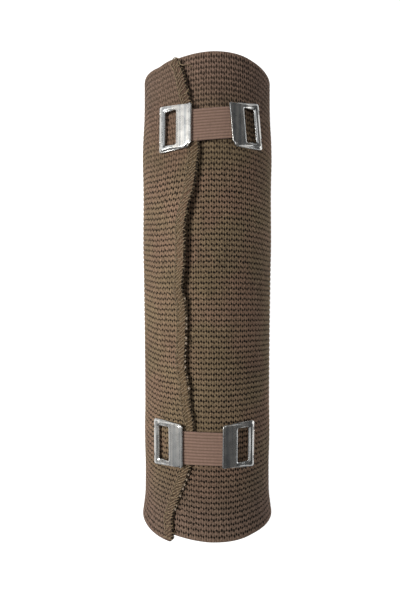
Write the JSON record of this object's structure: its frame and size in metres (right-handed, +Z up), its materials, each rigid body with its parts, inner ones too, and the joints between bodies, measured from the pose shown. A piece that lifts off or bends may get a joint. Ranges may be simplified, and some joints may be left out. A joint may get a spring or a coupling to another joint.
{
  "type": "compression bandage",
  "caption": "Elastic knitted compression bandage wound into a tight roll and lying on its side, its free end held by elastic clips with stamped metal clasps.",
  "frame": {"origin": "on the surface that the roll lies on, under the middle of its box", "axes": "+Y along the roll towards the end by the upper clip, +Z up, +X across the roll to the right of someone who faces +Y"},
  "size_m": [0.0452, 0.152, 0.0466],
  "materials": {
    "knitted_cloth": "elastic rib-faced knit, matt",
    "elastic_band": "fine ribbed woven elastic, matt",
    "clasp_steel": "stamped and plated sheet, brushed"
  },
  "bodies": {
    "root": {"bandage": "knitted_cloth", "upper_clip_band": "elastic_band", "upper_clip_left_clasp": "clasp_steel", "upper_clip_right_clasp": "clasp_steel", "lower_clip_band": "elastic_band", "lower_clip_left_clasp": "clasp_steel", "lower_clip_right_clasp": "clasp_steel"}
  },
  "joints": []
}
